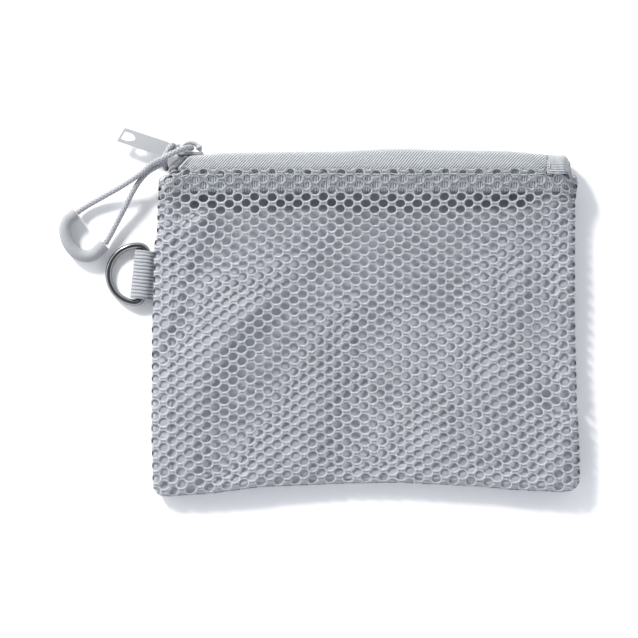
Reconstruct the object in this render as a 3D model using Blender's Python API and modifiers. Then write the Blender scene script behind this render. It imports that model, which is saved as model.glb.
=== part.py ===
"""Flat zip pouch with a hexagonal mesh front, a D-ring on a webbing loop and a corded zip puller.

The pouch lies on its back: +X runs along the zip to its right end, +Y from the pouch towards
the zip, +Z out of the mesh front. The origin is on the underside of the back panel, at its centre.
Lengths in this script are in millimetres, and become metres where a shape is made.
"""

import math

import bmesh
import bpy
from mathutils import Matrix, Vector
from mathutils.geometry import interpolate_bezier

MM = 0.001

# Pouch panels
HALF_WIDTH = 75.0
BOTTOM_Y = -60.0
TOP_Y = 53.0
CORNER_RADIUS = 4.0
PANEL_THICKNESS = 0.6
FRONT_EDGE_Z = 3.7
FRONT_MIDDLE_Z = 5.4
FRONT_TOP_Z = 9.35
SIDE_RAMP = 9.0
TOP_CORNER_RAMP = 3.5
GRID_COLUMNS = 30
GRID_ROWS = 22

# Zip: its chain runs along X, with the coil's flat side facing +Y
CHAIN_Y = 57.6
CHAIN_Z = 5.2
CHAIN_LEFT = -63.2
CHAIN_RIGHT = 63.2
TAPE_LEFT = -66.8
TAPE_THICKNESS = 0.5
COIL_INNER = 0.16
COIL_OUTER = 1.75
COIL_HEIGHT = 1.3
GAP = 0.3

# Seam bindings
BINDING_THICKNESS = 0.4
TOP_BINDING_HALF = 69.0
SEAM_BINDING_WIDTH = 4.4
SEAM_BINDING_Z = (0.9, 3.4)

# Slider, its crown and the pull tab
SLIDER_LEFT = -66.3
SLIDER_RIGHT = -57.1
SLIDER_NOSE_HALF = 3.2
SLIDER_TAIL_HALF = 2.6
SLIDER_PLATE = 0.75
SLIDER_CHANNEL = 0.8
CROWN_CENTRE = (-61.7, 59.0)
CROWN_RADIUS = 3.6
CROWN_WIRE = 0.53
CROWN_END_RADIUS = 0.95
TAB_EYE_ANGLE = 159.7
TAB_EYE_RADIUS = 1.4
TAB_EYE_WIRE = 0.4
TAB_DIRECTION = 161.5
TAB_TILT = 3.6
TAB_THICKNESS = 1.0
TAB_WIDTH = 5.45
TAB_OFFSET = -1.7
TAB_START = 5.0
TAB_END = 20.6
TAB_HOLE_AT = 18.0

# Puller: a braided cord through the crown, with its ends in a U-shaped grip
CORD_RADIUS = 0.95
CORD_SPACING = 2.4
GRIP_RADIUS = 2.17
GRIP_SPACING = 1.5
GRIP_ROUTE = [
    (-102.1, 37.8, 2.3), (-105.0, 35.6, 2.3), (-106.1, 32.4, 2.3), (-105.4, 28.4, 2.3),
    (-103.3, 25.0, 2.3), (-100.2, 22.9, 2.3), (-96.3, 23.1, 2.3), (-92.2, 26.75, 2.3),
]
CORD_ROUTE = [
    (-101.85, 38.02, 2.3), (-99.6, 39.7, 2.0), (-94.4, 42.7, 2.4), (-85.85, 47.2, 4.6),
    (-78.7, 51.7, 7.0), (-74.2, 55.2, 8.5), (-70.6, 56.9, 9.4), (-67.2, 58.6, 10.0),
    (-64.4, 60.1, 9.5), (-62.2, 60.75, 7.7), (-61.2, 60.75, 5.2), (-61.7, 60.9, 2.9),
    (-63.4, 61.5, 1.75), (-65.4, 62.4, 2.0), (-66.35, 62.95, 3.9), (-66.6, 62.9, 6.2),
    (-67.6, 62.0, 8.3), (-69.6, 60.2, 10.0), (-71.8, 57.6, 10.8), (-73.6, 55.0, 10.5),
    (-75.6, 52.2, 9.1), (-79.1, 48.7, 7.0), (-82.3, 44.9, 5.3), (-84.9, 40.05, 3.8),
    (-87.65, 34.7, 2.7), (-90.3, 29.8, 2.2), (-91.98, 26.98, 2.3),
]

# D-ring and its webbing loop
RING_BAR_AT = (-77.8, 16.0, 2.35)
RING_LEAN = 5.9
RING_TILT = 5.2
RING_WIRE = 1.1
RING_HALF_HEIGHT = 10.1
RING_CORNER = 3.0
LOOP_HALF_WIDTH = 8.3
LOOP_THICKNESS = 0.8
LOOP_ROUTE = [
    (4.1, 1.45), (3.1, 1.4), (1.9, 1.25), (0.9, 0.85), (0.0, 0.65), (-2.6, 0.7),
    (-3.8, 1.1), (-4.15, 1.9), (-3.85, 2.9), (-2.8, 3.85), (-1.4, 4.3), (0.0, 4.35),
    (1.1, 3.75), (1.9, 2.95), (2.9, 2.55), (4.1, 2.45),
]

# Right end of the zip
END_TAB_LEFT = 63.5
END_TAB_RIGHT = 72.7

# Stitches
STITCH_PITCH = 3.1
STITCH_RADIUS = 0.2
STITCH_DIP = 0.12
STITCH_Y = 50.9
STITCH_Z = 10.95


def start_clean():
    """Empties the scene and returns the collections for the parts and for the tools."""
    for old in list(bpy.data.objects):
        bpy.data.objects.remove(old)
    made = []
    for name in ("mesh_zip_pouch", "tools"):
        collection = bpy.data.collections.new(name)
        bpy.context.scene.collection.children.link(collection)
        made.append(collection)
    return made


PARTS, TOOLS = start_clean()


def material(name, colour, roughness, metallic=0.0):
    """A plain material for one kind of part."""
    made = bpy.data.materials.new(name)
    made.use_nodes = True
    shader = made.node_tree.nodes["Principled BSDF"]
    shader.inputs["Base Color"].default_value = (*colour, 1.0)
    shader.inputs["Roughness"].default_value = roughness
    shader.inputs["Metallic"].default_value = metallic
    made.diffuse_color = (*colour, 1.0)
    return made


KNIT = material("mesh_knit", (0.60, 0.62, 0.67), 0.75)
CLOTH = material("woven_cloth", (0.36, 0.38, 0.43), 0.8)
TAPE = material("zip_tape", (0.54, 0.57, 0.59), 0.75)
COIL = material("nylon_coil", (0.58, 0.60, 0.62), 0.4)
BINDING = material("ribbed_binding", (0.50, 0.52, 0.55), 0.75)
WEBBING = material("webbing", (0.48, 0.50, 0.54), 0.75)
THREAD = material("thread", (0.62, 0.64, 0.67), 0.6)
PAINT = material("painted_metal", (0.58, 0.60, 0.62), 0.35)
NICKEL = material("dark_nickel", (0.30, 0.31, 0.33), 0.15, 1.0)
BRAID = material("braided_cord", (0.50, 0.52, 0.55), 0.7)
GRIP = material("soft_grip", (0.55, 0.58, 0.61), 0.6)


def add_part(name, data, look, parent=None):
    """Links a named sub-part, with its material, under the empty on its joint's axis."""
    made = bpy.data.objects.new(name, data)
    PARTS.objects.link(made)
    made.data.materials.clear()
    made.data.materials.append(look)
    if parent:
        made.parent = parent
        made.matrix_parent_inverse = parent.matrix_world.inverted()
    return made


def add_tool(name, data):
    """Links a shape that only joins or cuts a part."""
    made = bpy.data.objects.new(name, data)
    TOOLS.objects.link(made)
    made.hide_render = True
    made.display_type = "WIRE"
    return made


def pivot(name, place):
    """An empty on a joint's axis, for the parts that move with it."""
    made = bpy.data.objects.new(name, None)
    PARTS.objects.link(made)
    made.location = Vector(place) * MM
    bpy.context.view_layer.update()
    return made


def smooth_line(points, spacing):
    """Evenly spaced points on a smooth curve through the given ones."""
    known = [Vector(p) for p in points]
    ends = [2 * known[0] - known[1], *known, 2 * known[-1] - known[-2]]
    fine = []
    for before, a, b, after in zip(ends, ends[1:], ends[2:], ends[3:]):
        handle_a = a + (b - before) / 6
        handle_b = b - (after - a) / 6
        steps = interpolate_bezier(a, handle_a, handle_b, b, 17)
        fine += [Vector(s) for s in steps[:-1]]
    fine.append(known[-1])
    travel = [0.0]
    for a, b in zip(fine, fine[1:]):
        travel.append(travel[-1] + (b - a).length)
    count = max(2, round(travel[-1] / spacing))
    line = []
    at = 0
    for step in range(count + 1):
        wanted = travel[-1] * step / count
        while at < len(travel) - 2 and travel[at + 1] < wanted:
            at += 1
        share = (wanted - travel[at]) / (travel[at + 1] - travel[at])
        line.append(fine[at].lerp(fine[at + 1], share))
    return line


def poly_curve(points, cyclic, dimensions):
    """A curve datablock of straight segments through the points."""
    curve = bpy.data.curves.new("outline", "CURVE")
    curve.dimensions = dimensions
    spline = curve.splines.new("POLY")
    spline.points.add(len(points) - 1)
    for target, point in zip(spline.points, points):
        target.co = (*(Vector(point).to_3d() * MM), 1.0)
    spline.use_cyclic_u = cyclic
    return curve


def tube(points, radius, resolution, cyclic=False):
    """A round wire, cord or tube along the points."""
    curve = poly_curve(points, cyclic, "3D")
    curve.bevel_depth = radius * MM
    curve.bevel_resolution = resolution
    curve.use_fill_caps = True
    return curve


def slab(outline, thickness):
    """A flat outline in the XY plane, centred on it and as thick as said."""
    curve = poly_curve(outline, True, "2D")
    curve.fill_mode = "BOTH"
    curve.extrude = thickness * MM / 2
    return curve


def ribbon(centre, thickness):
    """The closed outline of a bent strip that follows a flat centreline."""
    line = [Vector(p).to_2d() for p in centre]
    left, right = [], []
    for i, point in enumerate(line):
        along = (line[min(i + 1, len(line) - 1)] - line[max(i - 1, 0)]).normalized()
        side = Vector((-along.y, along.x)) * thickness / 2
        left.append(point + side)
        right.append(point - side)
    return left + right[::-1]


def rounded_outline(corners, radius, steps=6):
    """A closed outline with an arc of the radius in place of each corner."""
    outline = []
    count = len(corners)
    for i, corner in enumerate(corners):
        here = Vector(corner)
        back = (Vector(corners[i - 1]) - here).normalized()
        on = (Vector(corners[(i + 1) % count]) - here).normalized()
        half = back.angle(on) / 2
        centre = here + (back + on).normalized() * radius / math.sin(half)
        first = here + back * radius / math.tan(half) - centre
        last = here + on * radius / math.tan(half) - centre
        turn = first.angle_signed(last)
        for step in range(steps + 1):
            outline.append(centre + Matrix.Rotation(-turn * step / steps, 2) @ first)
    return outline


def mesh_from(curve, matrix=None):
    """A closed mesh of a curve's solid, for shapes that are joined or cut."""
    source = add_tool("source", curve)
    bpy.context.view_layer.update()
    seen = source.evaluated_get(bpy.context.evaluated_depsgraph_get())
    data = bpy.data.meshes.new_from_object(seen)
    bpy.data.objects.remove(source)
    shape = bmesh.new()
    shape.from_mesh(data)
    bmesh.ops.remove_doubles(shape, verts=shape.verts, dist=0.00001)
    bmesh.ops.recalc_face_normals(shape, faces=shape.faces)
    if matrix:
        bmesh.ops.transform(shape, matrix=matrix, verts=shape.verts)
    shape.to_mesh(data)
    shape.free()
    return data


def block(low, high, bevel=0.0):
    """A box mesh between two corners, with its edges rounded."""
    shape = bmesh.new()
    size = (Vector(high) - Vector(low)) * MM
    middle = (Vector(high) + Vector(low)) * MM / 2
    bmesh.ops.create_cube(shape, matrix=Matrix.Translation(middle) @ Matrix.Diagonal((*size, 1)))
    if bevel:
        bmesh.ops.bevel(shape, geom=shape.edges[:], offset=bevel * MM, segments=2, affect="EDGES")
    data = bpy.data.meshes.new("block")
    shape.to_mesh(data)
    shape.free()
    return data


def combine(target, data, operation="UNION"):
    """Joins a mesh to a part, or cuts it out of the part."""
    tool = add_tool(target.name + "_tool", data)
    step = target.modifiers.new(operation.lower(), "BOOLEAN")
    step.operation = operation
    step.solver = "EXACT"
    step.object = tool
    return tool


# A section outline is drawn in (Z from the chain, Y) and stands across X after this turn.
def across_x(x_middle):
    """Stands a section, drawn as (z, y), across the X axis at a place along it."""
    turn = Matrix(((0, 0, 1, 0), (0, 1, 0, 0), (1, 0, 0, 0), (0, 0, 0, 1)))
    return Matrix.Translation(Vector((x_middle, 0, CHAIN_Z)) * MM) @ turn


def section_part(name, centre, thickness, low_x, high_x, look):
    """A strip of constant section along X."""
    made = add_part(name, slab(ribbon(centre, thickness), high_x - low_x), look)
    made.matrix_world = across_x((low_x + high_x) / 2)
    return made


def corner_rounded(x, y):
    """Moves a point of the square-cornered panel onto the panel with round corners."""
    middle = (BOTTOM_Y + TOP_Y) / 2
    reach_x = HALF_WIDTH - CORNER_RADIUS
    reach_y = (TOP_Y - BOTTOM_Y) / 2 - CORNER_RADIUS
    a = abs(x) - reach_x
    b = abs(y - middle) - reach_y
    if a <= 0 or b <= 0:
        return x, y
    pull = max(a, b) / math.hypot(a, b)
    return math.copysign(reach_x + a * pull, x), middle + math.copysign(reach_y + b * pull, y - middle)


def smoothstep(share):
    """0 to 1 with level ends."""
    share = min(1.0, max(0.0, share))
    return share * share * (3 - 2 * share)


def front_height(x, y):
    """How high the underside of the mesh front stands."""
    near_zip = smoothstep((y - 30.0) / 20.0)
    full = FRONT_MIDDLE_Z + (FRONT_TOP_Z + 0.45 - FRONT_MIDDLE_Z) * near_zip
    ramp = SIDE_RAMP + (TOP_CORNER_RAMP - SIDE_RAMP) * near_zip
    side = min((HALF_WIDTH - abs(x)) / ramp, (y - BOTTOM_Y) / SIDE_RAMP)
    return FRONT_EDGE_Z + (full - FRONT_EDGE_Z) * smoothstep(side)


def panel_side(count, low, high, finest):
    """Grid lines along one side of a panel, closer together towards its ends."""
    middle = (low + high) / 2
    half = (high - low) / 2
    lines = []
    for i in range(count + 1):
        share = 2 * i / count - 1
        eased = (1 - finest) * math.sin(share * math.pi / 2) + finest * share
        lines.append(middle + half * eased)
    return lines


def make_front_panel():
    """The mesh front: a shallow tray whose top edge rises to the zip."""
    columns = panel_side(GRID_COLUMNS, -HALF_WIDTH, HALF_WIDTH, 0.4)
    rows = panel_side(GRID_ROWS, BOTTOM_Y, TOP_Y, 0.4)
    shape = bmesh.new()
    bmesh.ops.create_grid(shape, x_segments=GRID_COLUMNS, y_segments=GRID_ROWS, size=1.0)
    for v in shape.verts:
        x = columns[round((v.co.x + 1) / 2 * GRID_COLUMNS)]
        y = rows[round((v.co.y + 1) / 2 * GRID_ROWS)]
        x, y = corner_rounded(x, y)
        v.co = Vector((x, y, front_height(x, y))) * MM
    data = bpy.data.meshes.new("front_panel")
    shape.to_mesh(data)
    shape.free()
    panel = add_part("mesh_front_panel", data, KNIT)
    skin = panel.modifiers.new("thickness", "SOLIDIFY")
    skin.thickness = PANEL_THICKNESS * MM
    skin.offset = 1.0


def make_back_panel():
    """The woven back panel, flat on the table."""
    low, high = BOTTOM_Y, TOP_Y
    corners = [(-HALF_WIDTH, low), (HALF_WIDTH, low), (HALF_WIDTH, high), (-HALF_WIDTH, high)]
    outline = rounded_outline(corners, CORNER_RADIUS)
    panel = add_part("back_panel", slab(outline, PANEL_THICKNESS), CLOTH)
    panel.location.z = PANEL_THICKNESS * MM / 2


def make_seam_bindings():
    """Folded tape that binds the raw edges inside the side and bottom seams."""
    low_z, high_z = SEAM_BINDING_Z
    outer = HALF_WIDTH - 2.8
    inner = outer - SEAM_BINDING_WIDTH
    side_bottom = BOTTOM_Y + 2.0 + SEAM_BINDING_WIDTH + GAP
    side_top = 43.5
    bottom_low = BOTTOM_Y + 2.0
    bottom_high = bottom_low + SEAM_BINDING_WIDTH
    places = {
        "left_seam_binding": ((-outer, side_bottom, low_z), (-inner, side_top, high_z)),
        "right_seam_binding": ((inner, side_bottom, low_z), (outer, side_top, high_z)),
        "bottom_seam_binding": ((-outer, bottom_low, low_z), (outer, bottom_high, high_z)),
    }
    for name, (low, high) in places.items():
        add_part(name, block(low, high, 0.6), BINDING)


def tape_section(side):
    """Centreline of a zip tape, from the chain over the crest and down into the pouch."""
    route = [
        (2.05, CHAIN_Y), (3.3, CHAIN_Y), (4.1, CHAIN_Y - 0.35), (4.4, CHAIN_Y - 1.2),
        (4.2, 54.0), (3.5, 51.5), (2.6, 48.6), (1.9, 46.4),
    ]
    line = smooth_line([(z, y, 0) for z, y in route], 0.8)
    return [(p.x * side, p.y) for p in line]


def binding_section(side):
    """Centreline of the folded tape that binds the lower edge of a zip tape."""
    route = [
        (4.1, 51.0), (3.4, 48.4), (2.7, 46.1), (2.1, 45.35), (1.35, 45.5),
        (1.15, 46.3), (1.75, 48.7), (2.55, 51.0),
    ]
    line = smooth_line([(z, y, 0) for z, y in route], 0.7)
    return [(p.x * side, p.y) for p in line]


def make_zip():
    """Both tapes with their coils and edge bindings, a front half and a back half."""
    for half, side in (("front", 1), ("back", -1)):
        section_part(
            half + "_zipper_tape", tape_section(side), TAPE_THICKNESS, TAPE_LEFT, CHAIN_RIGHT, TAPE
        )
        section_part(
            half + "_top_binding",
            binding_section(side),
            BINDING_THICKNESS,
            -TOP_BINDING_HALF,
            TOP_BINDING_HALF,
            BINDING,
        )
        near, far = sorted((CHAIN_Z + side * COIL_INNER, CHAIN_Z + side * COIL_OUTER))
        low = (CHAIN_LEFT, CHAIN_Y - COIL_HEIGHT / 2, near)
        high = (CHAIN_RIGHT, CHAIN_Y + COIL_HEIGHT / 2, far)
        add_part(half + "_zipper_coil", block(low, high, 0.35), COIL)


def make_end_tab():
    """The ribbed tab folded over the right end of the zip."""
    half = [(4.3, 53.6), (4.4, 55.0), (4.25, 56.3), (3.5, 57.2), (1.8, 57.6)]
    route = half + [(-z, y) for z, y in reversed(half)]
    line = smooth_line([(z, y, 0) for z, y in route], 0.9)
    section = [(p.x, p.y) for p in line]
    section_part("zipper_end_tab", section, 0.6, END_TAB_LEFT, END_TAB_RIGHT, BINDING)


def make_stitching():
    """The thread that sews the mesh to the front tape, and the one round the end tab."""
    count = int(2 * 67.0 / STITCH_PITCH)
    row = []
    for i in range(count + 1):
        x = (i - count / 2) * STITCH_PITCH
        row.append((x - STITCH_PITCH * 0.2, STITCH_Y, STITCH_Z))
        row.append((x + STITCH_PITCH * 0.2, STITCH_Y, STITCH_Z))
        if i < count:
            row.append((x + STITCH_PITCH * 0.5, STITCH_Y, STITCH_Z - STITCH_DIP))
    add_part("front_topstitch", tube(row, STITCH_RADIUS, 1), THREAD)
    level = CHAIN_Z + 4.75 + GAP + STITCH_RADIUS + 0.05
    border = [(64.6, 56.0), (64.6, 54.2), (71.6, 54.2), (71.6, 56.0)]
    route = []
    for a, b in zip(border, border[1:]):
        steps = round((Vector(b) - Vector(a)).length / 1.1)
        route += [Vector(a).lerp(Vector(b), i / steps) for i in range(steps)]
    route.append(Vector(border[-1]))
    add_part("end_tab_stitch", tube([(p.x, p.y, level) for p in route], STITCH_RADIUS, 1), THREAD)


def make_webbing_loop():
    """Webbing folded round the ring's bar and caught in the left seam."""
    line = smooth_line([(x, z, 0) for x, z in LOOP_ROUTE], 0.55)
    outline = ribbon([(p.x, p.y) for p in line], LOOP_THICKNESS)
    loop = add_part("webbing_loop", slab(outline, 2 * LOOP_HALF_WIDTH), WEBBING)
    stand = Matrix.Rotation(math.radians(90), 4, "X")
    lean = Matrix.Rotation(math.radians(-RING_LEAN), 4, "Z")
    place = Vector((RING_BAR_AT[0], RING_BAR_AT[1], 0)) * MM
    loop.matrix_world = Matrix.Translation(place) @ lean @ stand


def ring_route():
    """Centreline of the D: a straight bar, two corners and a half circle."""
    reach = RING_HALF_HEIGHT - RING_CORNER
    route = [(0, reach * (2 * i / 6 - 1)) for i in range(7)]
    for step in range(1, 5):
        angle = math.radians(90 * step / 5)
        route.append((-RING_CORNER * (1 - math.cos(angle)), reach + RING_CORNER * math.sin(angle)))
    for step in range(25):
        angle = math.radians(90 + 180 * step / 24)
        route.append((-RING_CORNER + RING_HALF_HEIGHT * math.cos(angle), RING_HALF_HEIGHT * math.sin(angle)))
    for step in range(4, 0, -1):
        angle = math.radians(90 * step / 5)
        route.append((-RING_CORNER * (1 - math.cos(angle)), -reach - RING_CORNER * math.sin(angle)))
    return [(x, y, 0) for x, y in route]


def make_ring():
    """The D-ring, its bar in the loop and its round side down on the table."""
    axis = pivot("ring_axis", RING_BAR_AT)
    ring = add_part("d_ring", tube(ring_route(), RING_WIRE, 3, cyclic=True), NICKEL, axis)
    lean = Matrix.Rotation(math.radians(-RING_LEAN), 4, "Z")
    tilt = Matrix.Rotation(math.radians(-RING_TILT), 4, "Y")
    ring.matrix_world = Matrix.Translation(Vector(RING_BAR_AT) * MM) @ lean @ tilt


def plate_outline():
    """Plan of a slider plate, wider at the nose, drawn as (x, z from the chain)."""
    corners = [
        (SLIDER_LEFT, -SLIDER_NOSE_HALF), (SLIDER_RIGHT, -SLIDER_TAIL_HALF),
        (SLIDER_RIGHT, SLIDER_TAIL_HALF), (SLIDER_LEFT, SLIDER_NOSE_HALF),
    ]
    return rounded_outline(corners, 0.8, 4)


def slider_plate(y_middle, thickness, outline):
    """A flat plate of the slider, facing +Y."""
    stand = Matrix.Rotation(math.radians(90), 4, "X")
    place = Matrix.Translation(Vector((0, y_middle, CHAIN_Z)) * MM)
    return mesh_from(slab(outline, thickness), place @ stand)


def flange_outline(side):
    """Plan of the turned-in edge of a slider plate, which guides one tape."""
    outer_nose, outer_tail = SLIDER_NOSE_HALF - 0.05, SLIDER_TAIL_HALF - 0.05
    width = 0.6
    return [
        (SLIDER_LEFT + 1.0, side * (outer_nose - width)), (SLIDER_RIGHT - 1.0, side * (outer_tail - width)),
        (SLIDER_RIGHT - 1.0, side * outer_tail), (SLIDER_LEFT + 1.0, side * outer_nose),
    ]


def make_slider(carriage):
    """Slider body: two plates joined by the post at the nose, and the crown over the outer one."""
    outer_y = CHAIN_Y + SLIDER_CHANNEL + SLIDER_PLATE / 2
    inner_y = CHAIN_Y - SLIDER_CHANNEL - SLIDER_PLATE / 2
    body = add_part("slider_body", slider_plate(outer_y, SLIDER_PLATE, plate_outline()), PAINT, carriage)
    combine(body, slider_plate(inner_y, SLIDER_PLATE, plate_outline()))
    low = (SLIDER_LEFT + 0.35, inner_y, CHAIN_Z - 0.75)
    high = (SLIDER_LEFT + 2.4, outer_y, CHAIN_Z + 0.75)
    combine(body, block(low, high, 0.3))
    for side in (1, -1):
        for y_middle in (CHAIN_Y + 0.78, CHAIN_Y - 0.78):
            combine(body, slider_plate(y_middle, 0.5, flange_outline(side)))
    arch = []
    for step in range(19):
        angle = math.radians(180 * step / 18)
        x = CROWN_CENTRE[0] + CROWN_RADIUS * math.cos(angle)
        arch.append((x, CROWN_CENTRE[1] + CROWN_RADIUS * math.sin(angle), CHAIN_Z))
    combine(body, mesh_from(tube(arch, CROWN_WIRE, 2)))
    ball = bmesh.new()
    angle = math.radians(25)
    x = CROWN_CENTRE[0] + CROWN_RADIUS * math.cos(angle)
    y = CROWN_CENTRE[1] + CROWN_RADIUS * math.sin(angle)
    spot = Matrix.Translation(Vector((x, y, CHAIN_Z)) * MM)
    bmesh.ops.create_uvsphere(ball, u_segments=12, v_segments=8, radius=CROWN_END_RADIUS * MM, matrix=spot)
    data = bpy.data.meshes.new("crown_end")
    ball.to_mesh(data)
    ball.free()
    combine(body, data)


def tab_outline():
    """Plan of the pull tab from its neck at the eye to its free end."""
    low = TAB_OFFSET - TAB_WIDTH / 2
    high = TAB_OFFSET + TAB_WIDTH / 2
    corners = [
        (1.2, -0.5), (3.2, -0.55), (TAB_START, low), (TAB_END, low), (TAB_END, high), (TAB_START, high),
        (3.2, 0.5), (1.2, 0.5),
    ]
    return rounded_outline(corners, 0.45, 4)


def hole_outline():
    """The D-shaped hole near the tab's free end."""
    half_length, half_width = 1.9, 1.45
    outline = []
    for step in range(13):
        angle = math.radians(90 + 180 * step / 12)
        x = TAB_HOLE_AT - 0.3 + (half_length - 0.3) * math.cos(angle)
        outline.append((x, TAB_OFFSET + half_width * math.sin(angle)))
    outline += [(TAB_HOLE_AT + half_length, TAB_OFFSET - half_width), (TAB_HOLE_AT + half_length, TAB_OFFSET + half_width)]
    return outline


def tab_matrix():
    """Places the tab's own frame: origin in its eye, +X out along the tab."""
    angle = math.radians(TAB_EYE_ANGLE)
    x = CROWN_CENTRE[0] + CROWN_RADIUS * math.cos(angle)
    y = CROWN_CENTRE[1] + CROWN_RADIUS * math.sin(angle)
    turn = Matrix.Rotation(math.radians(TAB_DIRECTION), 4, "Z")
    tilt = Matrix.Rotation(math.radians(TAB_TILT), 4, "Y")
    flip = Matrix.Rotation(math.radians(180), 4, "X")
    return Matrix.Translation(Vector((x, y, CHAIN_Z)) * MM) @ turn @ tilt @ flip


def make_pull_tab(carriage):
    """Flat pull tab with a turned eye round the crown and a hole at its free end."""
    axis = pivot("tab_axis", (*CROWN_CENTRE, CHAIN_Z))
    axis.parent = carriage
    axis.matrix_parent_inverse = carriage.matrix_world.inverted()
    bpy.context.view_layer.update()
    place = tab_matrix()
    flat = mesh_from(slab(tab_outline(), TAB_THICKNESS), place)
    tab = add_part("pull_tab", flat, PAINT, axis)
    hole = mesh_from(slab(hole_outline(), 3 * TAB_THICKNESS), place)
    combine(tab, hole, "DIFFERENCE")
    circle = []
    for step in range(24):
        angle = math.radians(360 * step / 24)
        circle.append((TAB_EYE_RADIUS * math.cos(angle), 0, TAB_EYE_RADIUS * math.sin(angle)))
    combine(tab, mesh_from(tube(circle, TAB_EYE_WIRE, 2, cyclic=True), place))


def make_puller(carriage):
    """The cord loop through the crown, and the grip on its ends."""
    axis = pivot("puller_axis", (CROWN_CENTRE[0], CROWN_CENTRE[1] + CROWN_RADIUS, CHAIN_Z))
    axis.parent = carriage
    axis.matrix_parent_inverse = carriage.matrix_world.inverted()
    bpy.context.view_layer.update()
    add_part("puller_cord", tube(smooth_line(CORD_ROUTE, CORD_SPACING), CORD_RADIUS, 2), BRAID, axis)
    add_part("puller_grip", tube(smooth_line(GRIP_ROUTE, GRIP_SPACING), GRIP_RADIUS, 4), GRIP, axis)


def build():
    """Makes every part of the pouch."""
    make_front_panel()
    make_back_panel()
    make_seam_bindings()
    make_zip()
    make_end_tab()
    make_stitching()
    make_webbing_loop()
    make_ring()
    carriage = pivot("slider_axis", ((SLIDER_LEFT + SLIDER_RIGHT) / 2, CHAIN_Y, CHAIN_Z))
    make_slider(carriage)
    make_pull_tab(carriage)
    make_puller(carriage)


build()
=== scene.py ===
"""Looks for the mesh zip pouch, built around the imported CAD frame.

The shapes below are worked out in millimetres in the row frame (+X along the zip, +Y towards it,
+Z up) and become metres when a mesh is made.
"""

import math

import bmesh
import bpy
import numpy as np
from mathutils import Matrix, Vector


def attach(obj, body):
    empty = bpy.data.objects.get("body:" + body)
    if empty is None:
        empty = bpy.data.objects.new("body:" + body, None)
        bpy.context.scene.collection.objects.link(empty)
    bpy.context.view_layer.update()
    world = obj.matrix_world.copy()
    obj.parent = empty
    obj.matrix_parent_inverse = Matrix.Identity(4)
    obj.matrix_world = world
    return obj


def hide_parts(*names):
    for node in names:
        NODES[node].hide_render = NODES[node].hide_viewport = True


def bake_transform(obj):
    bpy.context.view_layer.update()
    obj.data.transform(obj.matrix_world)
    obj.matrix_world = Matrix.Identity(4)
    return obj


MM = 0.001
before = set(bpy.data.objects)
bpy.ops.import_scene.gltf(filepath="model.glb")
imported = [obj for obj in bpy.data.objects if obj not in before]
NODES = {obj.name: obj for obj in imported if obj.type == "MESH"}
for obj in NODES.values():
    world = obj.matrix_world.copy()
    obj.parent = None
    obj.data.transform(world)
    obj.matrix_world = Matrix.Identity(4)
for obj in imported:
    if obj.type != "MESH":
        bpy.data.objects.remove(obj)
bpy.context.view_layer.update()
scene = bpy.context.scene
scene.view_settings.view_transform = "Standard"

CHAIN_Y, CHAIN_Z = 57.6, 5.2
VIEW_CENTRE = (-16.4, 0.5)
VIEW_WIDTH = 224.6
LENS = 120.0


# ---------------------------------------------------------------- camera, light and floor
def make_camera():
    data = bpy.data.cameras.new("camera")
    data.lens = LENS
    data.sensor_width = 36.0
    camera = bpy.data.objects.new("camera", data)
    scene.collection.objects.link(camera)
    height = VIEW_WIDTH * LENS / 36.0 + 5.0
    camera.location = Vector((*VIEW_CENTRE, height)) * MM
    scene.camera = camera


def area_light(name, place, size, power, colour):
    data = bpy.data.lights.new(name, "AREA")
    data.shape = "DISK"
    data.size = size
    data.energy = power
    data.color = colour
    light = bpy.data.objects.new(name, data)
    scene.collection.objects.link(light)
    light.location = place
    light.rotation_euler = (-Vector(place)).to_track_quat("-Z", "Y").to_euler()


# The world is a dim ceiling over a bright band of white walls. Each step starts and ends at a
# height of the direction, and adds its strength.
WORLD_BASE = 0.24
WORLD_STEPS = ((0.06, 0.16, 1.9), (0.52, 0.64, -1.9))


def make_light():
    area_light("key", (-0.66, 0.79, 0.58), 0.19, 15.3, (1.0, 0.985, 0.965))
    area_light("soft", (-0.92, 0.74, 0.36), 1.2, 7.8, (1.0, 0.99, 0.975))
    world = bpy.data.worlds.new("world")
    scene.world = world
    world.use_nodes = True
    tree = world.node_tree
    back = tree.nodes["Background"]
    coord = tree.nodes.new("ShaderNodeTexCoord")
    total = None
    for low, high, strength in WORLD_STEPS:
        dot = tree.nodes.new("ShaderNodeVectorMath")
        dot.operation = "DOT_PRODUCT"
        dot.inputs[1].default_value = (0.0, 0.0, 1.0)
        tree.links.new(coord.outputs["Generated"], dot.inputs[0])
        panel = tree.nodes.new("ShaderNodeMapRange")
        panel.interpolation_type = "SMOOTHSTEP"
        base = 0.0 if total else WORLD_BASE
        for i, value in ((1, low), (2, high), (3, base), (4, strength + base)):
            panel.inputs[i].default_value = value
        tree.links.new(dot.outputs["Value"], panel.inputs[0])
        if total is None:
            total = panel.outputs[0]
        else:
            both = tree.nodes.new("ShaderNodeMath")
            tree.links.new(total, both.inputs[0])
            tree.links.new(panel.outputs[0], both.inputs[1])
            total = both.outputs[0]
    tree.links.new(total, back.inputs["Strength"])
    back.inputs["Color"].default_value = (0.955, 0.985, 1.06, 1)


def make_floor():
    bpy.ops.mesh.primitive_plane_add(size=6.0, location=(0, 0, -0.00002))
    floor = bpy.context.object
    floor.name = "floor"
    look = Look("floor_paint", (0.93, 0.93, 0.93), 0.9, specular=0.1)
    noise = look.noise(look.object_coords(), 3.0, 2)
    look.tint(noise, (0.925, 0.925, 0.925), (0.935, 0.935, 0.935))
    floor.data.materials.append(look.material)


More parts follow.
